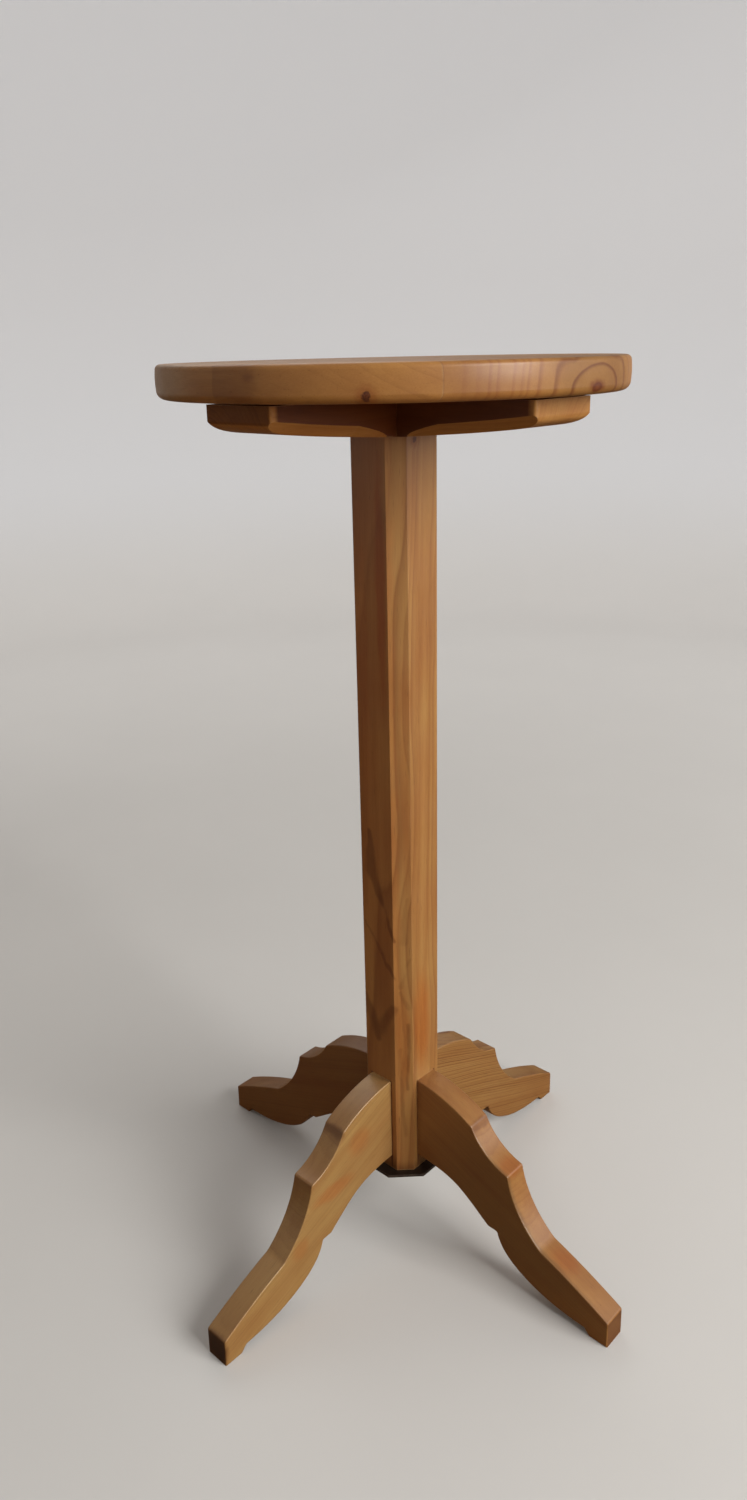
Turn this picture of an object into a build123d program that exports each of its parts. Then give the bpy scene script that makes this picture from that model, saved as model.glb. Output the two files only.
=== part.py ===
from build123d import *
import os
from math import cos, sin, radians, sqrt

# Pedestal turntable for modelling clay: a round wooden top that turns on a cross of two
# half-lapped battens, carried by a chamfered square column on four sawn cabriole legs.
#
# Frame: millimetres, +Z up, origin on the floor under the column's axis. Two legs point along
# X and two along Y. The battens of the cross lie over the legs.

# ---------------------------------------------------------------- driving dimensions

# heights above the floor
column_bottom = 82.0
cross_bottom = 868.0
cross_top = 900.0
running_gap = 2.0
top_thickness = 28.0
top_bottom = cross_top + running_gap

# round top, glued from three boards with their grain along X
top_radius = 205.0
# the rim is sanded slightly round, with a small round above and a larger one below
top_rim_sag = 1.2
top_upper_round = 4.5
top_lower_round = 7.0
heart_board_half_width = 126.0
board_dowel_radius = 4.0
board_dowel_length = 40.0
board_dowel_places = (-90.0, 0.0, 90.0)

# cross of two battens
batten_width = 77.0
batten_half_length = 180.0
batten_tip_thickness = 20.0
batten_pad_half = 34.0
batten_bevel = 9.0
batten_corner_round = 3.0
# a tip ends in an upright face, with a long round under it
batten_tip_face = 12.0
batten_tip_round = 34.0
# the bevel along a batten's sides is stopped: full out to the tip, run out before the crossing
bevel_full_from = 84.0
bevel_gone_at = 50.0
lap_height = (cross_bottom + cross_top) / 2

# column, a square with broad chamfers
column_width = 67.6
column_chamfer = 13.5
column_edge_round = 0.8
column_half = column_width / 2

# legs
leg_thickness = 27.0
leg_reach = 280.5
leg_joint_top = 197.0
leg_joint_bottom = 98.0
leg_edge_round = 1.3
# corners of the leg's outline, as distance from the axis and height
leg_brow = (107.5, 175.0)
leg_nose = (155.0, 138.0)
leg_instep = (198.0, 68.0)
leg_toe = (leg_reach - 0.5, 30.5)
leg_pad_end = (260.0, 0.0)
leg_heel = (253.5, 7.0)
leg_ledge_out = (143.0, 59.0)
leg_ledge_in = (131.0, 59.5)
leg_corner_rounds = {
    leg_brow: 6.0,
    leg_nose: 3.5,
    leg_instep: 20.0,
    leg_toe: 3.0,
    leg_pad_end: 2.0,
    leg_heel: 3.0,
    leg_ledge_out: 2.5,
    leg_ledge_in: 3.0,
}
leg_directions = {
    "leg_front_right": 0,
    "leg_back_right": 90,
    "leg_back_left": 180,
    "leg_front_left": 270,
}
leg_dowel_radius = 5.0
leg_dowel_in_column = 20.0
leg_dowel_in_leg = 30.0
leg_dowel_heights = (122.0, 172.0)

# octagonal plate under the column
plate_across_flats = 94.0
plate_thickness = 3.0
plate_edge_break = 0.8
plate_screw_offset = 19.0

# wood screws: shank radius, head radius, head height, length
cross_screw = (2.5, 5.0, 3.0, 70.0)
cross_screw_offset = 22.0
plate_screw = (2.0, 4.0, 2.4, 30.0)
flange_screw = (2.25, 4.5, 2.6, 20.0)
screw_slot_width = 1.2
screw_slot_depth = 1.4
screw_slack = 0.05
screw_tip_radius = 0.3

# pivot: a flange with a pin, turning in a sleeve and on a 17 x 30 x 9 thrust ball bearing
pin_radius = 8.0
pin_length = 90.0
pin_running_clearance = 0.05
pin_end_chamfer = 1.5
sleeve_outer_radius = 11.0
sleeve_length = 90.0
sleeve_mouth_chamfer = 0.8
flange_radius = 45.0
flange_thickness = 4.0
flange_screw_circle = 34.0
bearing_outer_radius = 15.0
bearing_inner_radius = 8.5
bearing_height = 9.0
bearing_seat_clearance = 0.3
race_thickness = 2.9
race_corner_round = 0.4
ball_radius = 2.3
ball_circle = 11.75
ball_count = 12
ball_clearance = 0.2
cage_thickness = 1.6
cage_inner_radius = 9.3
cage_outer_radius = 14.2
cage_pocket_clearance = 0.05

# ---------------------------------------------------------------- derived places

bearing_top = top_bottom
bearing_bottom = bearing_top - bearing_height
bearing_middle = bearing_top - bearing_height / 2
bearing_seat_radius = bearing_outer_radius + bearing_seat_clearance
sleeve_bottom = bearing_bottom - sleeve_length

screw_corners = [(sx, sy) for sx in (-1, 1) for sy in (-1, 1)]
cross_screw_places = [(sx * cross_screw_offset, sy * cross_screw_offset) for sx, sy in screw_corners]
plate_screw_places = [(sx * plate_screw_offset, sy * plate_screw_offset) for sx, sy in screw_corners]
flange_screw_places = [
    (flange_screw_circle * cos(radians(angle)), flange_screw_circle * sin(radians(angle)))
    for angle in (45, 135, 225, 315)
]

UP = (Align.CENTER, Align.CENTER, Align.MIN)
DOWN = (Align.CENTER, Align.CENTER, Align.MAX)

os.makedirs("parts", exist_ok=True)


def save(piece, name):
    piece.part.label = name
    export_step(piece.part, f"parts/{name}.step")


def wide_face(angle, distance):
    """Upright plane at a distance from the axis, looking outwards; its own Y is the height."""
    outward = Vector(cos(radians(angle)), sin(radians(angle)), 0)
    across = Vector(-sin(radians(angle)), cos(radians(angle)), 0)
    return Plane(origin=outward * distance, x_dir=across, z_dir=outward)


# ---------------------------------------------------------------- screws


def screw_forms(places, head_z, points_up, size, slack=0.0):
    """Add, or with some slack cut, the form of a countersunk screw at each place of the open part.

    head_z is the height of the head's flat face. points_up says which way the tip points.
    slack is how much wider the hole is than its screw, all round.
    """
    shank, head, head_height, length = size
    side = 1 if points_up else -1
    wide, narrow = head + slack, shank + slack
    align = UP if points_up else DOWN
    mode = Mode.SUBTRACT if slack else Mode.ADD
    for x, y in places:
        with Locations((x, y, head_z)):
            if points_up:
                Cone(wide, narrow, head_height, align=align, mode=mode)
            else:
                Cone(narrow, wide, head_height, align=align, mode=mode)
        with Locations((x, y, head_z + side * head_height)):
            Cylinder(narrow, length - head_height - 2 * shank, align=align, mode=mode)
        with Locations((x, y, head_z + side * (length - 2 * shank))):
            if points_up:
                Cone(narrow, screw_tip_radius, 2 * shank, align=align, mode=mode)
            else:
                Cone(screw_tip_radius, narrow, 2 * shank, align=align, mode=mode)


def make_screws(name, places, head_z, points_up, size):
    head = size[1]
    with BuildPart() as screws:
        screw_forms(places, head_z, points_up, size)
        align = UP if points_up else DOWN
        with Locations([(x, y, head_z) for x, y in places]):
            Box(2.2 * head, screw_slot_width, screw_slot_depth, align=align, mode=Mode.SUBTRACT)
    save(screws, name)


# ---------------------------------------------------------------- column

with BuildPart() as column:
    with BuildSketch(Plane.XY.offset(column_bottom)) as section:
        Rectangle(column_width, column_width)
        chamfer(section.vertices(), column_chamfer)
    extrude(amount=cross_bottom - column_bottom)
    fillet(column.edges().filter_by(Axis.Z), column_edge_round)
    # sockets for the leg dowels in the four wide faces
    for angle in leg_directions.values():
        with BuildSketch(wide_face(angle, column_half)):
            with Locations([(0, z) for z in leg_dowel_heights]):
                Circle(leg_dowel_radius)
        extrude(amount=-leg_dowel_in_column, mode=Mode.SUBTRACT)
    # bore for the pivot sleeve
    with BuildSketch(Plane.XY.offset(cross_bottom)):
        Circle(sleeve_outer_radius)
    extrude(amount=sleeve_bottom - cross_bottom, mode=Mode.SUBTRACT)
    screw_forms(cross_screw_places, cross_top, False, cross_screw, screw_slack)
    screw_forms(plate_screw_places, column_bottom - plate_thickness, True, plate_screw, screw_slack)
save(column, "column")

# ---------------------------------------------------------------- legs


def make_leg(name, angle):
    """Sawn leg: a shoulder, a cove, a long sweep to the toe, and an arched underside."""
    outward = Vector(cos(radians(angle)), sin(radians(angle)), 0)
    across = Vector(-sin(radians(angle)), cos(radians(angle)), 0)
    side = Plane(origin=(0, 0, 0), x_dir=outward, z_dir=-across)
    with BuildPart() as leg:
        with BuildSketch(side) as outline:
            with BuildLine():
                shoulder = ThreePointArc((column_half, leg_joint_top), (72, 190.5), leg_brow)
                cove = ThreePointArc(leg_brow, (125, 152.5), leg_nose)
                sweep_down = ThreePointArc(leg_nose, (169.5, 100), leg_instep)
                instep = ThreePointArc(leg_instep, (236, 52.4), leg_toe)
                Polyline(leg_toe, (leg_reach, 0), leg_pad_end, leg_heel)
                calf = Spline(leg_heel, (213, 11), (180, 21.5), (155, 38), leg_ledge_out)
                ledge = Line(leg_ledge_out, leg_ledge_in)
                belly = Spline(leg_ledge_in, (113, 73), (86, 89.5), (60, 96), (column_half, leg_joint_bottom))
                Line(belly @ 1, shoulder @ 0)
            make_face()
            for corner, radius in leg_corner_rounds.items():
                fillet(outline.vertices().sort_by_distance(corner)[0], radius)
        extrude(amount=leg_thickness / 2, both=True)
        cheeks = leg.faces().sort_by(Axis((0, 0, 0), across))
        rims = cheeks[0].edges() + cheeks[-1].edges()
        fillet([e for e in rims if e.center().dot(outward) > column_half + 0.5], leg_edge_round)
        with BuildSketch(wide_face(angle, column_half)):
            with Locations([(0, z) for z in leg_dowel_heights]):
                Circle(leg_dowel_radius)
        extrude(amount=leg_dowel_in_leg, mode=Mode.SUBTRACT)
    save(leg, name)


for leg_name, leg_angle in leg_directions.items():
    make_leg(leg_name, leg_angle)

with BuildPart() as leg_dowels:
    for angle in leg_directions.values():
        with BuildSketch(wide_face(angle, column_half - leg_dowel_in_column)):
            with Locations([(0, z) for z in leg_dowel_heights]):
                Circle(leg_dowel_radius)
        extrude(amount=leg_dowel_in_column + leg_dowel_in_leg)
save(leg_dowels, "leg_dowels")

# ---------------------------------------------------------------- octagonal base plate

with BuildPart() as base_plate:
    with BuildSketch(Plane.XY.offset(column_bottom - plate_thickness)):
        RegularPolygon(plate_across_flats / 2, 8, major_radius=False, rotation=22.5)
    extrude(amount=plate_thickness)
    outline = base_plate.faces().sort_by(Axis.Z)
    chamfer(outline[0].edges() + outline[-1].edges(), plate_edge_break)
    screw_forms(plate_screw_places, column_bottom - plate_thickness, True, plate_screw, screw_slack)
save(base_plate, "base_plate")
make_screws("base_plate_screws", plate_screw_places, column_bottom - plate_thickness, True, plate_screw)

# ---------------------------------------------------------------- cross of two battens

tip_z = cross_top - batten_tip_thickness


def underside(r):
    """Height of the batten's sawn underside at distance r from the axis."""
    if r <= batten_pad_half:
        return cross_bottom
    share = (r - batten_pad_half) / (batten_half_length - batten_pad_half)
    return cross_bottom + (tip_z - cross_bottom) * (0.55 * share + 0.45 * share * share)


def bevel_size(r):
    """Size of the side bevel at distance r from the axis."""
    if r >= bevel_full_from:
        return batten_bevel
    share = (r - bevel_gone_at) / (bevel_full_from - bevel_gone_at)
    return batten_bevel * sqrt(max(share, 0.0))


def make_batten(name, angle, keeps_top):
    """One batten, modelled as a quarter and mirrored, then cut for the half lap."""
    along = Vector(cos(radians(angle)), sin(radians(angle)), 0)
    across = Vector(-sin(radians(angle)), cos(radians(angle)), 0)
    side = Plane(origin=(0, 0, 0), x_dir=along, z_dir=along.cross(Vector(0, 0, 1)))
    half = batten_width / 2
    with BuildPart() as batten:
        with BuildSketch(side):
            with BuildLine():
                pad = Line((0, cross_bottom), (batten_pad_half, cross_bottom))
                step = (batten_half_length - batten_tip_round - batten_pad_half) / 4
                stops = [batten_pad_half + i * step for i in range(1, 5)]
                bow = Spline(pad @ 1, *[(r, underside(r)) for r in stops])
                pulls = [bow @ 1 + (bow % 1) * batten_tip_round / 2, (batten_half_length, tip_z)]
                tip = Bezier(bow @ 1, *pulls, (batten_half_length, cross_top - batten_tip_face))
                Polyline(tip @ 1, (batten_half_length, cross_top), (0, cross_top), (0, cross_bottom))
            make_face()
        extrude(amount=-half)
        # stopped bevel along the side
        run_out = bevel_full_from - bevel_gone_at
        stations = [bevel_gone_at + share * run_out for share in (0.01, 0.12, 0.3, 0.6, 1)]
        stations += [110.0, 140.0, batten_half_length + 1]
        for r in stations:
            size = bevel_size(r)
            low = underside(min(r, batten_half_length))
            section = Plane(origin=(along * r), x_dir=across, z_dir=along)
            with BuildSketch(section):
                outside, below = half + 2, low - 2
                with BuildLine():
                    inside, above = half - size - 2, low + size + 2
                    Polyline((outside, below), (outside, above), (inside, below), close=True)
                make_face()
        loft(ruled=True, mode=Mode.SUBTRACT)
        mirror(about=Plane(origin=(0, 0, 0), z_dir=along))
        mirror(about=Plane(origin=(0, 0, 0), z_dir=across))
        # round the upright corners of the tips
        with BuildSketch(Plane(origin=(0, 0, cross_bottom), x_dir=along, z_dir=(0, 0, 1))):
            RectangleRounded(2 * batten_half_length, batten_width, batten_corner_round)
        extrude(amount=cross_top - cross_bottom, mode=Mode.INTERSECT)
        low, high = (cross_bottom - 1, lap_height) if keeps_top else (lap_height, cross_top + 1)
        with BuildSketch(Plane.XY.offset(low)):
            Rectangle(batten_width, batten_width)
        extrude(amount=high - low, mode=Mode.SUBTRACT)
        # bore for the sleeve and seat for the bearing
        with BuildSketch(Plane.XY.offset(cross_bottom)):
            Circle(sleeve_outer_radius)
        extrude(amount=cross_top - cross_bottom, mode=Mode.SUBTRACT)
        if keeps_top:
            with BuildSketch(Plane.XY.offset(bearing_bottom)):
                Circle(bearing_seat_radius)
            extrude(amount=cross_top - bearing_bottom, mode=Mode.SUBTRACT)
        screw_forms(cross_screw_places, cross_top, False, cross_screw, screw_slack)
    save(batten, name)


make_batten("cross_batten_lower", 0, False)
make_batten("cross_batten_upper", 90, True)
make_screws("cross_screws", cross_screw_places, cross_top, False, cross_screw)

# ---------------------------------------------------------------- pivot

with BuildPart() as pivot_sleeve:
    with BuildSketch(Plane.XY.offset(sleeve_bottom)):
        Circle(sleeve_outer_radius)
        Circle(pin_radius + pin_running_clearance, mode=Mode.SUBTRACT)
    extrude(amount=sleeve_length)
    mouth = pivot_sleeve.faces().sort_by(Axis.Z)[-1]
    chamfer(mouth.edges().sort_by(SortBy.LENGTH)[0], sleeve_mouth_chamfer)
save(pivot_sleeve, "pivot_sleeve")

with BuildPart() as pivot_flange:
    with BuildSketch(Plane.XY.offset(top_bottom)):
        Circle(flange_radius)
    extrude(amount=flange_thickness)
    with BuildSketch(Plane.XY.offset(top_bottom)):
        Circle(pin_radius)
    extrude(amount=-pin_length)
    chamfer(pivot_flange.faces().sort_by(Axis.Z)[0].edges(), pin_end_chamfer)
    screw_forms(flange_screw_places, top_bottom, True, flange_screw, screw_slack)
save(pivot_flange, "pivot_flange")
make_screws("flange_screws", flange_screw_places, top_bottom, True, flange_screw)


def make_race(name, flat_z, faces_up):
    """Bearing washer with a ball groove in the face that looks at the balls."""
    side = 1 if faces_up else -1
    with BuildPart() as race:
        with BuildSketch(Plane.XZ):
            middle = ((bearing_inner_radius + bearing_outer_radius) / 2, flat_z + side * race_thickness / 2)
            width = bearing_outer_radius - bearing_inner_radius
            with Locations(middle):
                RectangleRounded(width, race_thickness, race_corner_round)
            with Locations((ball_circle, bearing_middle)):
                Circle(ball_radius + ball_clearance, mode=Mode.SUBTRACT)
        revolve(axis=Axis.Z)
    save(race, name)


make_race("bearing_lower_race", bearing_bottom, True)
make_race("bearing_upper_race", bearing_top, False)

with BuildPart() as bearing_cage:
    with BuildSketch(Plane.XY.offset(bearing_middle - cage_thickness / 2)):
        Circle(cage_outer_radius)
        Circle(cage_inner_radius, mode=Mode.SUBTRACT)
    extrude(amount=cage_thickness)
    with Locations((0, 0, bearing_middle)):
        with PolarLocations(ball_circle, ball_count):
            Sphere(ball_radius + cage_pocket_clearance, mode=Mode.SUBTRACT)
save(bearing_cage, "bearing_cage")

with BuildPart() as bearing_balls:
    with Locations((0, 0, bearing_middle)):
        with PolarLocations(ball_circle, ball_count):
            Sphere(ball_radius)
save(bearing_balls, "bearing_balls")

# ---------------------------------------------------------------- round top

board_edges = {
    "top_board_front": (-top_radius - 1, -heart_board_half_width),
    "top_board_heart": (-heart_board_half_width, heart_board_half_width),
    "top_board_back": (heart_board_half_width, top_radius + 1),
}
dowel_z = top_bottom + top_thickness / 2
top_face = top_bottom + top_thickness
rim_edge = top_radius - top_rim_sag
joint_rows = (-heart_board_half_width, heart_board_half_width)
dowel_places = [(x, y, dowel_z) for y in joint_rows for x in board_dowel_places]

for board_name, (y_low, y_high) in board_edges.items():
    with BuildPart() as board:
        with BuildSketch(Plane.XZ) as half_section:
            with BuildLine():
                underside_line = Line((0, top_bottom), (rim_edge, top_bottom))
                rim = ThreePointArc(underside_line @ 1, (top_radius, dowel_z), (rim_edge, top_face))
                Polyline(rim @ 1, (0, top_face), (0, top_bottom))
            make_face()
            for height, radius in ((top_bottom, top_lower_round), (top_face, top_upper_round)):
                fillet(half_section.vertices().sort_by_distance((rim_edge, height))[0], radius)
        revolve(axis=Axis.Z)
        with Locations((0, (y_low + y_high) / 2, dowel_z)):
            Box(3 * top_radius, y_high - y_low, 2 * top_thickness, mode=Mode.INTERSECT)
        with Locations(dowel_places):
            Cylinder(board_dowel_radius, board_dowel_length, rotation=(90, 0, 0), mode=Mode.SUBTRACT)
        if board_name == "top_board_heart":
            with BuildSketch(Plane.XY.offset(top_bottom)):
                Circle(flange_radius)
            extrude(amount=flange_thickness, mode=Mode.SUBTRACT)
            screw_forms(flange_screw_places, top_bottom, True, flange_screw, screw_slack)
    save(board, board_name)

with BuildPart() as board_dowels:
    with Locations(dowel_places):
        Cylinder(board_dowel_radius, board_dowel_length, rotation=(90, 0, 0))
save(board_dowels, "board_dowels")
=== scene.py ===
from math import cos, radians, sin, tau

import bmesh
import bpy
from mathutils import Matrix, Vector


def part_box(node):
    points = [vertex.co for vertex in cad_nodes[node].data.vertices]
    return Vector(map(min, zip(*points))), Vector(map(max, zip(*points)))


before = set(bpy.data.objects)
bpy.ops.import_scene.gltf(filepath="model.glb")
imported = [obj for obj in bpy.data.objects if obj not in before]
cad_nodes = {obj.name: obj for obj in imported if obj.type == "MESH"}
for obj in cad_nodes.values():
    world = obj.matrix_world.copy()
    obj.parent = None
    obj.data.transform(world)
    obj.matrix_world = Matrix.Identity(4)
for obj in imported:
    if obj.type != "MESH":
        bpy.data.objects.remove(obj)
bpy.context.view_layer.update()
MM = 0.001

# ---------------------------------------------------------------- places taken from the frame

top_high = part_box("top_board_heart")[1]
column_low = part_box("column")[0]
leg_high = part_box("leg_front_right")[1]
board_joint = top_high.y / MM
column_foot = column_low.z / MM
leg_half = leg_high.y / MM
leg_joint_top = leg_high.z / MM

# ---------------------------------------------------------------- camera

camera_place = (0.6737, -0.7497, 0.9401)
camera_azimuth = radians(133.3)
camera_pitch = radians(20.36)
camera_roll = radians(-1.30)
camera_lens = 26.07
camera_near = 0.05


def make_camera():
    data = bpy.data.cameras.new("camera")
    data.lens = camera_lens
    data.clip_start = camera_near
    camera = bpy.data.objects.new("camera", data)
    turn = Matrix.Rotation(camera_azimuth - radians(90), 4, "Z")
    tip = Matrix.Rotation(radians(90) - camera_pitch, 4, "X")
    roll = Matrix.Rotation(camera_roll, 4, "Z")
    camera.matrix_world = Matrix.Translation(camera_place) @ turn @ tip @ roll
    bpy.context.scene.collection.objects.link(camera)
    bpy.context.scene.camera = camera


# ---------------------------------------------------------------- node trees


class Tree:
    """A material's node tree. Each method adds a node and gives back its output socket."""

    def __init__(self, name):
        self.material = bpy.data.materials.new(name)
        self.material.use_nodes = True
        self.tree = self.material.node_tree
        self.tree.nodes.clear()
        self.shader = self.add("ShaderNodeBsdfPrincipled")
        output = self.add("ShaderNodeOutputMaterial")
        self.tree.links.new(self.shader.outputs[0], output.inputs["Surface"])
        self.place = self.add("ShaderNodeTexCoord").outputs["Object"]

    def add(self, kind, **settings):
        node = self.tree.nodes.new(kind)
        for key, value in settings.items():
            setattr(node, key, value)
        return node

    def put(self, socket, value):
        if isinstance(value, bpy.types.NodeSocket):
            self.tree.links.new(value, socket)
        elif socket.type == "RGBA":
            socket.default_value = (*value, 1.0)
        else:
            socket.default_value = value

    def finish(self, **values):
        """Sets the shader's sockets, named with _ for each space."""
        for key, value in values.items():
            self.put(self.shader.inputs[key.replace("_", " ")], value)
        return self.material

    def math(self, operation, *values, clamp=False):
        node = self.add("ShaderNodeMath", operation=operation, use_clamp=clamp)
        for socket, value in zip(node.inputs, values):
            self.put(socket, value)
        return node.outputs[0]

    def vector_math(self, operation, *values):
        node = self.add("ShaderNodeVectorMath", operation=operation)
        for socket, value in zip(node.inputs, values):
            self.put(socket, value)
        return node.outputs["Value" if operation in ("DOT_PRODUCT", "LENGTH", "DISTANCE") else "Vector"]

    def vector(self, x, y, z):
        node = self.add("ShaderNodeCombineXYZ")
        for socket, value in zip(node.inputs, (x, y, z)):
            self.put(socket, value)
        return node.outputs[0]

    def split(self, vector):
        node = self.add("ShaderNodeSeparateXYZ")
        self.put(node.inputs[0], vector)
        return node.outputs

    def stretch(self, vector, scale):
        """The vector with each part times its own scale, or all with one."""
        scale = scale if isinstance(scale, tuple) else (scale,) * 3
        return self.vector_math("MULTIPLY", vector, scale)

    def noise(self, vector, detail=2.0, roughness=0.5, output="Fac"):
        node = self.add("ShaderNodeTexNoise")
        self.put(node.inputs["Vector"], vector)
        node.inputs["Scale"].default_value = 1.0
        node.inputs["Detail"].default_value = detail
        node.inputs["Roughness"].default_value = roughness
        return node.outputs[output]

    def hash(self, value):
        node = self.add("ShaderNodeTexWhiteNoise", noise_dimensions="1D")
        self.put(node.inputs["W"], value)
        return node.outputs["Value"]

    def spread(self, value, low, high, to_low=0.0, to_high=1.0, smooth=False):
        """The value's range from low to high becomes to_low to to_high, and stays inside it."""
        node = self.add("ShaderNodeMapRange", interpolation_type="SMOOTHSTEP" if smooth else "LINEAR")
        for socket, number in zip(node.inputs, (value, low, high, to_low, to_high)):
            self.put(socket, number)
        return node.outputs[0]

    def ramp(self, value, stops, blend="LINEAR"):
        """stops is a list of (position, number or colour)."""
        node = self.add("ShaderNodeValToRGB")
        elements = node.color_ramp.elements
        node.color_ramp.interpolation = blend
        while len(elements) < len(stops):
            elements.new(1.0)
        for element, (position, shade) in zip(elements, stops):
            element.position = position
            colour = shade if isinstance(shade, tuple) else (shade,) * 3
            element.color = (*colour, 1.0)
        self.put(node.inputs[0], value)
        return node.outputs["Color"]

    def mix(self, share, first, second, blend="MIX"):
        node = self.add("ShaderNodeMix", data_type="RGBA", blend_type=blend)
        self.put(node.inputs[0], share)
        self.put(node.inputs[6], first)
        self.put(node.inputs[7], second)
        return node.outputs[2]

    def bump(self, height, strength, distance_mm):
        node = self.add("ShaderNodeBump")
        node.inputs["Strength"].default_value = strength
        node.inputs["Distance"].default_value = distance_mm * MM
        self.put(node.inputs["Height"], height)
        return node.outputs[0]

    def millimetres(self):
        return self.stretch(self.place, 1 / MM)

    def blob(self, place, centre, reach, core=0.0):
        """1 about the centre, and out to core of the way, then fading to 0 at the ellipsoid's surface."""
        away = self.vector_math("DIVIDE", self.vector_math("SUBTRACT", place, centre), reach)
        return self.spread(self.vector_math("LENGTH", away), 1.0, core, smooth=True)

    def stroke(self, place, start, end, widths):
        """1 on the line from start to end, fading to 0 at a distance. widths gives it for each end."""
        line = Vector(end) - Vector(start)
        away = self.vector_math("SUBTRACT", place, start)
        share = self.math("DIVIDE", self.vector_math("DOT_PRODUCT", away, tuple(line)), line.length_squared)
        share = self.spread(share, 0.0, 1.0)
        nearest = self.vector_math("SCALE", tuple(line))
        self.put(nearest.node.inputs["Scale"], share)
        distance = self.vector_math("LENGTH", self.vector_math("SUBTRACT", away, nearest))
        width = self.spread(share, 0.0, 1.0, widths[0], widths[1])
        return self.spread(self.math("DIVIDE", distance, width), 1.0, 0.25, smooth=True)

    def tinted(self, share, colour, tint):
        """The colour, times the tint where share is 1."""
        return self.mix(share, colour, self.mix(1.0, colour, tint, "MULTIPLY"))

    def edge(self, radius_mm):
        """From 0 on a flat face to about 1 at a sharp edge or corner."""
        bevel = self.add("ShaderNodeBevel", samples=6)
        bevel.inputs["Radius"].default_value = radius_mm * MM
        normal = self.add("ShaderNodeNewGeometry").outputs["Normal"]
        alike = self.vector_math("DOT_PRODUCT", bevel.outputs[0], normal)
        return self.spread(alike, 0.985, 0.80)


# ---------------------------------------------------------------- pine

amber_early = (0.370, 0.200, 0.060)
amber_late = (0.190, 0.070, 0.018)
amber_red = (0.300, 0.122, 0.034)
amber_pale = (0.500, 0.300, 0.130)
knot_brown = (0.130, 0.036, 0.012)
knot_dark = (0.060, 0.016, 0.007)
resin_dark = (0.050, 0.016, 0.007)
band_tint = (0.78, 0.66, 0.58)
fibre_tint = (0.66, 0.56, 0.46)
end_tint = (0.42, 0.33, 0.26)
# darkens both stain marks and painted shade
shade_tint = (0.30, 0.18, 0.14)
halo_tint = (0.70, 0.48, 0.36)
varnish_roughness = 0.3
# the darkness of a ring, from its inner side to its outer side
ring_profile = [(0.0, 0.40), (0.10, 0.0), (0.40, 0.12), (0.78, 0.62), (0.93, 1.0), (1.0, 0.40)]


def grain_frame(grain):
    """Rows: two directions square to the grain, then the grain."""
    along = Vector(grain).normalized()
    level = Vector((0, 0, 1)).cross(along)
    first = level.normalized() if level.length > 0.3 else Vector((1, 0, 0))
    second = along.cross(first)
    first = second.cross(along)
    return Matrix((first, second, along))


def wandering(t, local, shifted, wander):
    """Bends the rings slowly and quickly, by about wander mm in all."""
    slow = t.noise(t.stretch(shifted, (0.012, 0.012, 0.0035)), 1.0, output="Color")
    quick = t.noise(t.stretch(shifted, (0.05, 0.05, 0.008)), 2.0, output="Color")
    slow_part = t.stretch(t.vector_math("SUBTRACT", slow, (0.5, 0.5, 0.5)), (4 * wander, 4 * wander, 0.0))
    quick_part = t.vector_math("SUBTRACT", quick, (0.5, 0.5, 0.5))
    quick_part = t.stretch(quick_part, (0.8 * wander, 0.8 * wander, 0.0))
    return t.vector_math("ADD", local, t.vector_math("ADD", slow_part, quick_part))


def around_knot(t, place, centre, branch, size):
    """How many knot radii a place lies from the axis of a knot."""
    axis = tuple(Vector(branch).normalized())
    away = t.vector_math("SUBTRACT", place, centre)
    on_axis = t.vector_math("SCALE", axis)
    t.put(on_axis.node.inputs["Scale"], t.vector_math("DOT_PRODUCT", away, axis))
    beside = t.vector_math("LENGTH", t.vector_math("SUBTRACT", away, on_axis))
    rough = t.noise(t.stretch(place, 0.35), 2.0)
    return t.math("DIVIDE", t.math("ADD", beside, t.spread(rough, 0.3, 0.7, -0.22 * size, 0.22 * size)), size)


def even_rings(t, radius, spacing, seed):
    """Rings about spacing mm apart, some wide and some narrow, some strong and some faint."""
    uneven = t.noise(t.vector(t.math("MULTIPLY", radius, 0.35 / spacing), seed * 17.3, 0.0), 1.0)
    phase = t.math("ADD", t.math("DIVIDE", radius, spacing), t.spread(uneven, 0.2, 0.8, -0.9, 0.9))
    strength = t.spread(t.hash(t.math("ADD", t.math("FLOOR", phase), seed)), 0.0, 1.0, 0.25, 1.0)
    return t.math("MULTIPLY", t.ramp(t.math("FRACT", phase), ring_profile), strength)


def chosen_rings(t, radius, rings):
    """Rings at chosen radii. Each is a line that is soft towards the heart and sharper outside."""
    found = 0.0
    for size, width, strength in rings:
        inside = t.spread(radius, size - width, size, 0.0, strength, smooth=True)
        outside = t.spread(radius, size, size + 0.45 * width, 1.0, 0.0, smooth=True)
        found = t.math("MAXIMUM", found, t.math("MULTIPLY", inside, outside))
    return found


def from_the_pith(t, place, turn, pith):
    """The place measured from the pith: two directions square to the grain, then along it."""
    mapping = t.add("ShaderNodeMapping")
    t.put(mapping.inputs["Vector"], place)
    mapping.inputs["Rotation"].default_value = turn.to_euler("XYZ")
    mapping.inputs["Location"].default_value = -(turn @ Vector(pith))
    return mapping.outputs[0]


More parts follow.
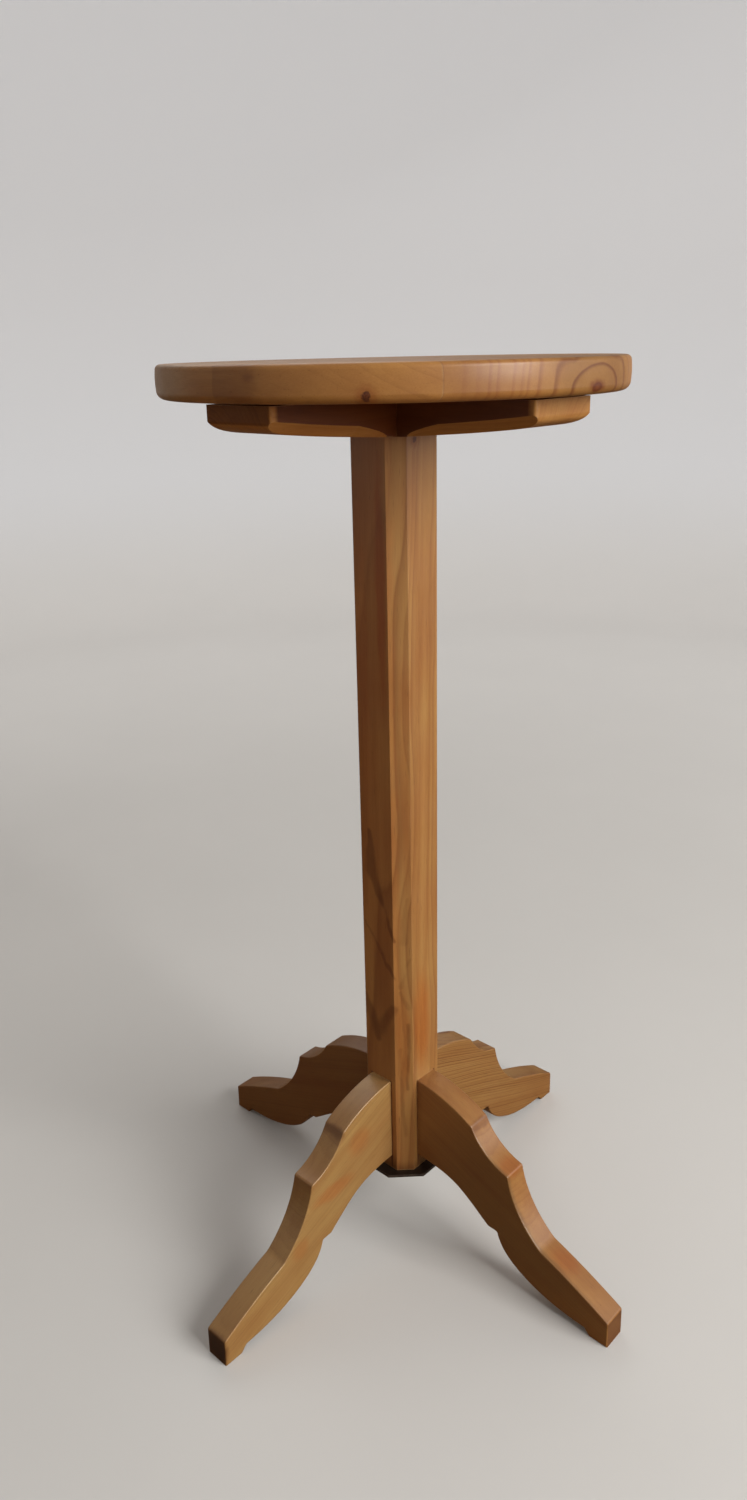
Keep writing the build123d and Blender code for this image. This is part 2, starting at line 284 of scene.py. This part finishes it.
def with_knots(t, place, radius, knots):
    """Knots push the rings aside. Gives the new radius, and where the knots and their dark halos are."""
    knot = 0.0
    halo = 0.0
    for centre, branch, size in knots:
        share = around_knot(t, place, centre, branch, size)
        knot = t.math("MAXIMUM", knot, t.spread(share, 1.05, 0.65, smooth=True))
        halo = t.math("MAXIMUM", halo, t.spread(share, 3.0, 1.0, 0.0, 0.55, smooth=True))
        radius = t.math("ADD", radius, t.spread(share, 3.6, 0.6, 0.0, 1.6 * size, smooth=True))
    return radius, knot, halo


def cloudy(t, shifted, blotch):
    """Large soft clouds in the stain."""
    cloud = t.noise(t.stretch(shifted, (0.022, 0.022, 0.008)), 3.0, 0.55)
    return t.spread(cloud, 0.35, 0.68, 0.0, blotch)


def grown_colour(t, shifted, colour, fibre, latewood, late, streak):
    """Adds the long bands, the rings, the fibres and the short dark resin canals."""
    band = t.noise(t.stretch(shifted, (0.075, 0.075, 0.0022)), 2.0, 0.6)
    canal = t.spread(t.noise(t.stretch(shifted, (1.6, 1.6, 0.06)), 1.0), 0.68, 0.78)
    colour = t.tinted(t.spread(band, 0.36, 0.64, 0.0, streak), colour, band_tint)
    colour = t.mix(latewood, colour, late)
    colour = t.tinted(t.spread(fibre, 0.3, 0.7, 0.30, 0.0), colour, fibre_tint)
    return t.mix(t.math("MULTIPLY", canal, 0.45), colour, resin_dark)


def with_patches(t, place, shifted, colour, patches):
    """Adds patches with ragged outlines, mostly where the stain took differently; some are painted shade and
    painted light.
    """
    if not patches:
        return colour
    ragged = t.stretch(t.noise(t.stretch(shifted, (0.10, 0.10, 0.03)), 3.0, output="Color"), 9.0)
    ragged = t.vector_math("ADD", place, t.vector_math("SUBTRACT", ragged, (4.5, 4.5, 4.5)))
    for centre, reach, tint in patches:
        colour = t.tinted(t.blob(ragged, centre, reach, 0.35), colour, tint)
    return colour


def rubbed_edge(t, place, wear, rub):
    """The varnish is thin on the edges, which were rubbed pale here and there."""
    rubbed = t.spread(t.noise(t.stretch(place, 0.06), 3.0, 0.6), 0.36, 0.60)
    if rub:
        rubbed = t.math("MAXIMUM", rubbed, rub(t, place))
    return t.math("MULTIPLY", t.edge(1.8), t.math("MULTIPLY", rubbed, wear))


def pine(name, grain, pith, spacing=4.5, wander=6.0, early=amber_early, late=amber_late, red=amber_red,
         tone=(1.0, 1.0, 1.0), blotch=0.5, streak=0.5, contrast=0.8, wear=0.6, end_shade=0.6, gloss=0.35,
         shine=0.5, dryness=0.0, seed=0.0, rings=(), knots=(), patches=(), squash=None, shade=None, rub=None):
    """Varnished pine, cut from one block.

    grain is the direction of the fibres and pith a point, in mm, on the heart of the tree. The rings
    lie round that line, spacing mm apart, or at the chosen (radius, width, strength), and wander by
    that many mm. knots is a list of (centre, direction of the branch, radius), and patches of (centre,
    reach, tint), mostly where the stain took differently; some are painted shade and painted light.
    tone tints the whole block. streak is how much the colour changes from one long band to the next,
    and end_shade how much darker the end grain is. gloss is the weight of the varnish, shine the
    wood's own, and dryness is added to the roughness. squash(tree, across, up) may bend the rings.
    shade(tree, place, normal) gives where the wood is darkened, by stain and by painted shade, and
    rub(tree, place) where its edges are rubbed pale, from 0 to 1.
    """
    t = Tree(name)
    place = t.millimetres()
    turn = grain_frame(grain)
    local = from_the_pith(t, place, turn, pith)
    shifted = t.vector_math("ADD", local, (seed * 137.0, seed * 71.0, seed * 311.0))
    across, up, _ = t.split(wandering(t, local, shifted, wander))
    if squash:
        across, up = squash(t, across, up)
    radius = t.vector_math("LENGTH", t.vector(across, up, 0.0))
    radius, knot, halo = with_knots(t, place, radius, knots)
    line = chosen_rings(t, radius, rings) if rings else even_rings(t, radius, spacing, seed)
    latewood = t.math("MULTIPLY", line, contrast)
    fibre = t.noise(t.stretch(shifted, (0.9, 0.9, 0.03)), 3.0, 0.65)
    normal = t.add("ShaderNodeNewGeometry").outputs["Normal"]
    facing = t.math("ABSOLUTE", t.vector_math("DOT_PRODUCT", normal, tuple(turn[2])))
    end_grain = t.spread(facing, 0.78, 0.97, 0.0, end_shade, smooth=True)

    colour = t.mix(cloudy(t, shifted, blotch), early, red)
    colour = grown_colour(t, shifted, colour, fibre, latewood, late, streak)
    colour = t.tinted(end_grain, colour, end_tint)
    if shade:
        # darkened by stain marks and by painted shade
        colour = t.tinted(shade(t, place, normal), colour, shade_tint)
    colour = with_patches(t, place, shifted, colour, patches)
    colour = t.mix(1.0, colour, tone, "MULTIPLY")
    if knots:
        heart = t.spread(t.noise(t.stretch(place, 0.8), 2.0), 0.35, 0.65)
        colour = t.tinted(halo, colour, halo_tint)
        colour = t.mix(knot, colour, t.mix(heart, knot_brown, knot_dark))
    edge = rubbed_edge(t, place, wear, rub)
    colour = t.mix(edge, colour, amber_pale)

    dull = t.spread(t.noise(t.stretch(place, 0.03), 3.0), 0.3, 0.7, -0.05, 0.07)
    grainy = t.spread(fibre, 0.3, 0.7, 0.46 + dryness, 0.38 + dryness)
    roughness = t.math("ADD", t.math("ADD", grainy, dull), t.math("MULTIPLY", edge, 0.12))
    roughness = t.math("ADD", roughness, t.math("MULTIPLY", end_grain, 0.3))
    relief = t.math("ADD", t.math("MULTIPLY", fibre, 0.5), t.math("MULTIPLY", latewood, 0.5))
    return t.finish(Base_Color=colour, Roughness=roughness, Specular_IOR_Level=shine, Coat_Weight=gloss,
                    Coat_Roughness=varnish_roughness, Normal=t.bump(relief, 0.25, 0.25))


# ---------------------------------------------------------------- the boards of the top

board_gold = (0.430, 0.210, 0.056)
ring_brown = (0.200, 0.055, 0.012)
# the heart board's rings: radius, width, strength
heart_rings = [(6, 5, 0.8), (33, 5, 0.95), (51, 5, 0.75), (66, 4, 0.55), (75, 3, 0.4), (80, 3, 0.3),
               (87, 3, 0.35), (99, 3, 0.4), (105, 3, 0.4), (113, 4, 0.2), (122, 4, 0.2)]
# where the front board's dark patch begins and ends, in mm along X
front_patch = (3.0, 48.0)


def flat_heart(t, across, up):
    """The first rings round the heart are wide and low, and the later ones round."""
    factor = t.spread(t.math("ABSOLUTE", across), 30.0, 50.0, 1.94, 1.0)
    return across, t.math("MULTIPLY", up, factor)


def joint_line(t, place):
    """The thin dark glue line between two boards."""
    beside = t.math("ABSOLUTE", t.math("SUBTRACT", t.math("ABSOLUTE", t.split(place)[1]), board_joint))
    return t.spread(beside, 0.7, 0.2, 0.0, 0.45)


def heart_shade(t, place, normal):
    """Only the glue line is dark."""
    return joint_line(t, place)


def front_shade(t, place, normal):
    """The front board has a patch of purple-brown wood, with a sharp edge on one side."""
    ragged = t.spread(t.noise(t.stretch(place, (0.15, 0.15, 0.04)), 2.0), 0.3, 0.7, -3.0, 3.0)
    x = t.math("ADD", t.split(place)[0], ragged)
    begins = t.spread(x, front_patch[0] - 1.0, front_patch[0] + 1.0)
    ends = t.spread(x, front_patch[1] + 8.0, front_patch[1] - 12.0, smooth=True)
    patch = t.math("MULTIPLY", t.math("MULTIPLY", begins, ends), 0.30)
    spot = t.blob(place, (39, -201, 921), (9, 12, 6))
    return t.math("MAXIMUM", joint_line(t, place), t.math("ADD", patch, t.math("MULTIPLY", spot, 0.30)))


def make_top_wood():
    """Three boards, each with its own pith: the heart board holds it, the others lie beside it."""
    shared = dict(grain=(1, 0, 0), early=board_gold, end_shade=0.0, gloss=0.16, shine=0.4, dryness=0.02,
                  streak=0.25)
    dress(pine("pine_top_board_heart", pith=(0, 7, 908), wander=1.5, squash=flat_heart, rings=heart_rings,
               tone=(0.86, 0.82, 0.80), late=ring_brown, contrast=0.9, seed=1.0, shade=heart_shade,
               patches=[((205, 7, 908), (30, 15, 8), (0.60, 0.34, 0.28)),
                        ((205, 12, 915), (60, 88, 60), (0.76, 0.80, 0.78))], **shared), "top_board_heart")
    dress(pine("pine_top_board_front", pith=(0, -70, 1010), spacing=7.0, wander=5.0, seed=2.0, contrast=0.28,
               blotch=0.6, shade=front_shade, knots=[((123, -165, 907), (0.6, -0.8, 0), 4.0)],
               patches=[((-70, -170, 916), (75, 60, 40), (0.95, 1.15, 1.6))], **shared), "top_board_front")
    dress(pine("pine_top_board_back", pith=(0, 150, 820), spacing=6.0, wander=5.0, contrast=0.5, seed=3.0,
               shade=heart_shade, **shared), "top_board_back")


# ---------------------------------------------------------------- the cross and the column


def batten_sides_stain_and_shade(t, place, normal):
    """The stain lies thick on the upright sides of the battens, and thin on their bevels and ends; the sides
    also carry painted shade from the top above them.
    """
    upright = t.spread(t.math("ABSOLUTE", t.split(normal)[2]), 0.45, 0.25)
    px, py, _ = t.split(place)
    reach = t.math("MAXIMUM", t.math("ABSOLUTE", px), t.math("ABSOLUTE", py))
    return t.math("MULTIPLY", upright, t.spread(reach, 176.0, 172.0))


# dark flames in the grain: start, end, widths there, strength
column_flames = [
    ((-9, -34, 486), (-7, -34, 442), (5, 11), 0.55),
    ((-7, -34, 442), (8, -34, 408), (11, 4), 0.55),
    ((8, -34, 408), (22, -34, 372), (4, 3), 0.60),
    ((-18, -34, 384), (4, -34, 352), (2, 4), 0.35),
    ((4, -34, 352), (22, -34, 328), (4, 3), 0.50),
    ((-21, -34, 290), (-5, -34, 258), (7, 12), 0.50),
    ((-5, -34, 262), (-2, -34, 246), (12, 7), 0.60),
    ((-2, -34, 256), (20, -34, 292), (12, 6), 0.50),
    ((31, -23, 420), (27, -27, 372), (3, 6), 0.20),
    ((31, -23, 350), (25, -29, 318), (3, 4), 0.22),
    ((25, -29, 312), (31, -23, 292), (3, 4), 0.25),
    ((31, -23, 270), (30, -24, 190), (4, 3), 0.40),
    ((24, -30, 240), (27, -27, 130), (3, 4), 0.25),
]


# heights in mm: the wear at the column's foot is full up to the first and gone above the second
wear_full = 330.0
wear_ends = 480.0


def column_wear(t, place):
    """The edges of the column are rubbed pale low down."""
    return t.spread(t.split(place)[2], wear_ends, wear_full, smooth=True)


def column_shade(t, place, normal):
    """Flames, painted contact shadow in thin lines where the legs meet the column, and darkening towards the
    foot of it.
    """
    x, y, z = t.split(place)
    ragged = t.stretch(t.noise(t.stretch(place, (0.06, 0.06, 0.03)), 2.0, output="Color"), 10.0)
    ragged = t.vector_math("ADD", place, t.vector_math("SUBTRACT", ragged, (5.0, 5.0, 5.0)))
    flame = 0.0
    for start, end, widths, strength in column_flames:
        stroke = t.stroke(ragged, start, end, widths)
        flame = t.math("MAXIMUM", flame, t.math("MULTIPLY", stroke, strength))
    # painted contact shadow along the joints between the legs and the column
    beside = t.math("MINIMUM", t.math("ABSOLUTE", x), t.math("ABSOLUTE", y))
    beside = t.math("ABSOLUTE", t.math("SUBTRACT", beside, leg_half))
    low = t.spread(z, leg_joint_top + 1.0, leg_joint_top)
    line = t.math("MULTIPLY", t.spread(beside, 2.2, 0.6, 0.0, 0.95), low)
    # darker towards the foot of the column
    foot = t.spread(z, column_foot + 14.0, column_foot, 0.0, 0.55, smooth=True)
    return t.math("MAXIMUM", flame, t.math("MAXIMUM", line, foot))


def make_column_wood():
    dress(pine("pine_column", grain=(0.012, 0.02, 1), pith=(6, 62, 300), spacing=8.5, wander=7.0,
               contrast=0.7, wear=1.0, streak=0.7, blotch=0.6, tone=(1.10, 1.10, 1.12), seed=4.0,
               shade=column_shade, rub=column_wear, knots=[((34, -10, 864), (1, 0, 0.1), 3.0)],
               patches=[((34, -6, 268), (12, 17, 80), (1.0, 0.74, 0.52)),
                        ((12, -34, 740), (9, 12, 150), (0.92, 0.68, 0.58)),
                        ((-12, -34, 640), (9, 12, 220), (1.0, 0.90, 0.85)),
                        ((30, -24, 560), (7, 7, 160), (0.95, 0.82, 0.74)),
                        ((27, -27, 250), (9, 9, 90), (0.92, 0.72, 0.60)),
                        # painted fill light: lightens the column's face that is turned away from the window
                        ((0, -34, 450), (60, 8, 700), (1.16, 1.02, 0.95))]), "column")
    battens = dict(spacing=4.0, contrast=0.5, gloss=0.1, shine=0.2, shade=batten_sides_stain_and_shade)
    dress(pine("pine_batten_lower", grain=(1, 0, 0), pith=(0, 60, 850), seed=5.0, end_shade=0.3,
               tone=(1.34, 1.34, 1.36), **battens), "cross_batten_lower")
    dress(pine("pine_batten_upper", grain=(0, 1, 0), pith=(-40, 0, 850), seed=6.0, end_shade=0.9,
               tone=(1.25, 1.10, 1.0), **battens), "cross_batten_upper")


# ---------------------------------------------------------------- the legs


def leg_outline_shade(t, place, normal):
    """Painted shade: the sawn outline of a leg, turned away from the window, is darker than its planed sides.
    """
    return t.spread(t.math("ABSOLUTE", t.split(normal)[0]), 0.5, 0.2, 0.0, 0.38)


# the fibres fall by this much for each unit outward
leg_slope = -0.4
leg_looks = {
    "leg_front_right": dict(
        out=(1, 0), spacing=4.5, contrast=0.40, end_shade=1.0, tone=(0.94, 0.84, 0.78),
        patches=[((150, 0, 140), (18, 20, 12), (1.0, 0.78, 0.62)),
                 ((225, 0, 62), (30, 20, 12), (1.0, 0.80, 0.66)),
                 # painted shade on the leg's side that faces away from the window
                 ((170, -14, 90), (170, 7, 130), (0.72, 0.76, 0.80)),
                 ((109, 0, 172), (8, 24, 8), (0.70, 0.60, 0.52))]),
    "leg_back_right": dict(out=(0, 1), spacing=2.7, contrast=1.2, end_shade=0.5, tone=(0.94, 0.94, 0.98)),
    "leg_back_left": dict(out=(-1, 0), spacing=4.5, contrast=0.5, end_shade=0.5, tone=(0.72, 0.62, 0.62)),
    "leg_front_left": dict(
        out=(0, -1), spacing=5.0, contrast=0.35, end_shade=1.0, tone=(1.10, 1.24, 1.42), shade=leg_outline_shade,
        patches=[((13, -85, 150), (12, 22, 22), (1.0, 0.80, 0.70)),
                 ((13, -125, 112), (12, 40, 13), (1.0, 0.76, 0.66)),
                 ((13, -175, 70), (12, 16, 16), (1.0, 0.84, 0.76)),
                 ((0, -282, 16), (26, 10, 26), (0.25, 0.14, 0.07)),
                 ((0, -109, 172), (24, 8, 8), (0.62, 0.52, 0.46))]),
}


def make_leg_wood():
    """Each leg has its own block, with the pith above it and a little to one side."""
    for number, (name, look) in enumerate(leg_looks.items()):
        out = look.pop("out")
        pith = (out[0] * 150 - out[1] * 12, out[1] * 150 + out[0] * 12, 330)
        dress(pine(f"pine_{name}", grain=(*out, leg_slope), pith=pith, wander=4.0, seed=7.0 + number,
                   wear=0.8, **look), name)


# ---------------------------------------------------------------- other materials


def dress(material, *names):
    for name in names:
        for slot in cad_nodes[name].material_slots:
            slot.material = material


def beech():
    t = Tree("beech_dowels")
    place = t.millimetres()
    fleck = t.noise(t.stretch(place, (0.8, 0.8, 0.8)), 3.0)
    colour = t.mix(fleck, (0.48, 0.31, 0.17), (0.34, 0.20, 0.10))
    return t.finish(Base_Color=colour, Roughness=t.spread(fleck, 0.3, 0.7, 0.55, 0.7),
                    Normal=t.bump(fleck, 0.2, 0.2))


def metal(name, colour, dark, low, high, scale, metallic=1.0, wear=None):
    """Metal with fine tool marks, or a coat of paint whose pale edges are partly worn and partly a painted
    highlight.
    """
    t = Tree(name)
    place = t.millimetres()
    marks = t.noise(t.stretch(place, scale), 3.0, 0.6)
    shade = t.mix(t.spread(marks, 0.35, 0.7), colour, dark)
    if wear:
        # pale edges: worn paint, and a painted highlight along the rim
        worn_and_lit_edges = t.math("MULTIPLY", t.edge(0.8), t.spread(t.noise(t.stretch(place, 0.12), 3.0), 0.35, 0.55))
        shade = t.mix(worn_and_lit_edges, shade, wear)
    return t.finish(Base_Color=shade, Metallic=metallic, Roughness=t.spread(marks, 0.3, 0.7, low, high),
                    Normal=t.bump(marks, 0.15, 0.05))


def make_metal():
    # the plate's pale edge colour is worn paint and a painted highlight on its rim
    plate = metal("painted_plate", (0.020, 0.013, 0.009), (0.034, 0.020, 0.013), 0.30, 0.45, 0.25, 0.3,
                  wear=(0.30, 0.22, 0.14))
    dress(plate, "base_plate")
    dress(metal("zinc_screws", (0.42, 0.41, 0.38), (0.24, 0.23, 0.21), 0.28, 0.42, 1.2),
          "base_plate_screws", "cross_screws", "flange_screws")
    dress(metal("turned_steel", (0.40, 0.40, 0.41), (0.27, 0.27, 0.28), 0.25, 0.40, (0.4, 0.4, 3.0)),
          "pivot_flange")
    dress(metal("ground_steel", (0.50, 0.50, 0.51), (0.38, 0.38, 0.39), 0.16, 0.26, (0.6, 0.6, 4.0)),
          "bearing_lower_race", "bearing_upper_race")
    dress(metal("polished_steel", (0.62, 0.62, 0.63), (0.52, 0.52, 0.54), 0.06, 0.12, 0.8), "bearing_balls")
    dress(metal("turned_brass", (0.60, 0.42, 0.16), (0.42, 0.28, 0.10), 0.22, 0.36, (0.6, 0.6, 3.0)),
          "bearing_cage", "pivot_sleeve")


# ---------------------------------------------------------------- studio

room_radius = 4.0
sweep_radius = 1.2
room_height = 5.4
room_segments = 96
sweep_segments = 16
light_distance = 3.6
light_aim = 0.5
sky_colour = (0.95, 0.97, 1.0)
sky_strength = 0.28


def make_room():
    """A round pale floor that sweeps up into a wall on all sides, open at the top."""
    outline = [(0.0, 0.0), (room_radius - sweep_radius, 0.0)]
    for i in range(1, sweep_segments + 1):
        angle = radians(90) * i / sweep_segments
        sweep_out = room_radius - sweep_radius + sweep_radius * sin(angle)
        outline.append((sweep_out, sweep_radius * (1 - cos(angle))))
    outline.append((room_radius, room_height))
    shape = bmesh.new()
    centre = shape.verts.new((0, 0, 0))
    rows = []
    for radius, height in outline[1:]:
        turns = [tau * i / room_segments for i in range(room_segments)]
        rows.append([shape.verts.new((radius * cos(a), radius * sin(a), height)) for a in turns])
    for i in range(room_segments):
        nxt = (i + 1) % room_segments
        shape.faces.new((centre, rows[0][i], rows[0][nxt]))
        for low, high in zip(rows, rows[1:]):
            shape.faces.new((low[i], high[i], high[nxt], low[nxt]))
    for face in shape.faces:
        face.smooth = True
    mesh = bpy.data.meshes.new("room")
    shape.to_mesh(mesh)
    shape.free()
    room = bpy.data.objects.new("room", mesh)
    bpy.context.scene.collection.objects.link(room)
    mesh.materials.append(pale_paper())


def pale_paper():
    """Pale floor and paler wall, with a faint glow on the wall that only the camera sees.

    What they throw back on the object is dimmer and warmer than they look.
    """
    t = Tree("pale_paper")
    x, y, height = t.split(t.place)
    far = t.vector_math("LENGTH", t.vector(x, y, 0.0))
    wall = t.spread(height, 0.0, 0.5, smooth=True)
    speckle = t.noise(t.stretch(t.place, 3.0), 4.0)
    floor_tint = t.mix(speckle, (0.62, 0.61, 0.59), (0.66, 0.65, 0.63))
    seen = t.mix(wall, floor_tint, (0.72, 0.74, 0.77))
    thrown = t.mix(wall, (0.18, 0.105, 0.055), (0.64, 0.60, 0.56))
    straight = t.add("ShaderNodeLightPath").outputs["Is Camera Ray"]
    behind = t.spread(far, 0.7, 2.8, 0.0, 0.18, smooth=True)
    glow = t.math("MULTIPLY", behind, t.spread(height, 0.25, 1.6, 0.85, 1.0, smooth=True))
    return t.finish(Base_Color=t.mix(straight, thrown, seen), Roughness=0.9, Specular_IOR_Level=0.1,
                    Emission_Color=(1.0, 1.0, 1.0), Emission_Strength=t.math("MULTIPLY", glow, straight))


def soft_light(name, azimuth, elevation, width, height, power, colour):
    """A rectangle of light that looks at the middle of the object. Angles in degrees, power in watts."""
    data = bpy.data.lights.new(name, "AREA")
    data.shape = "RECTANGLE"
    data.size, data.size_y = width, height
    data.energy = power
    data.color = colour
    light = bpy.data.objects.new(name, data)
    a, e = radians(azimuth), radians(elevation)
    away = Vector((cos(a) * cos(e), sin(a) * cos(e), sin(e)))
    light.location = Vector((0, 0, light_aim)) + away * light_distance
    light.rotation_euler = away.to_track_quat("Z", "Y").to_euler()
    light.visible_camera = False
    bpy.context.scene.collection.objects.link(light)


def make_light():
    scene = bpy.context.scene
    scene.view_settings.view_transform = "Standard"
    world = bpy.data.worlds.new("studio")
    scene.world = world
    world.use_nodes = True
    background = world.node_tree.nodes["Background"]
    background.inputs["Color"].default_value = (*sky_colour, 1.0)
    background.inputs["Strength"].default_value = sky_strength
    soft_light("window", azimuth=6, elevation=26, width=1.95, height=2.25, power=143,
               colour=(1.0, 0.985, 0.96))
    soft_light("second_window", azimuth=42, elevation=20, width=2.4, height=1.8, power=15,
               colour=(0.96, 0.98, 1.0))
    soft_light("fill", azimuth=150, elevation=42, width=2.4, height=1.8, power=20,
               colour=(1.0, 0.98, 0.95))


make_camera()
make_top_wood()
make_column_wood()
make_leg_wood()
dress(beech(), "leg_dowels", "board_dowels")
make_metal()
make_room()
make_light()
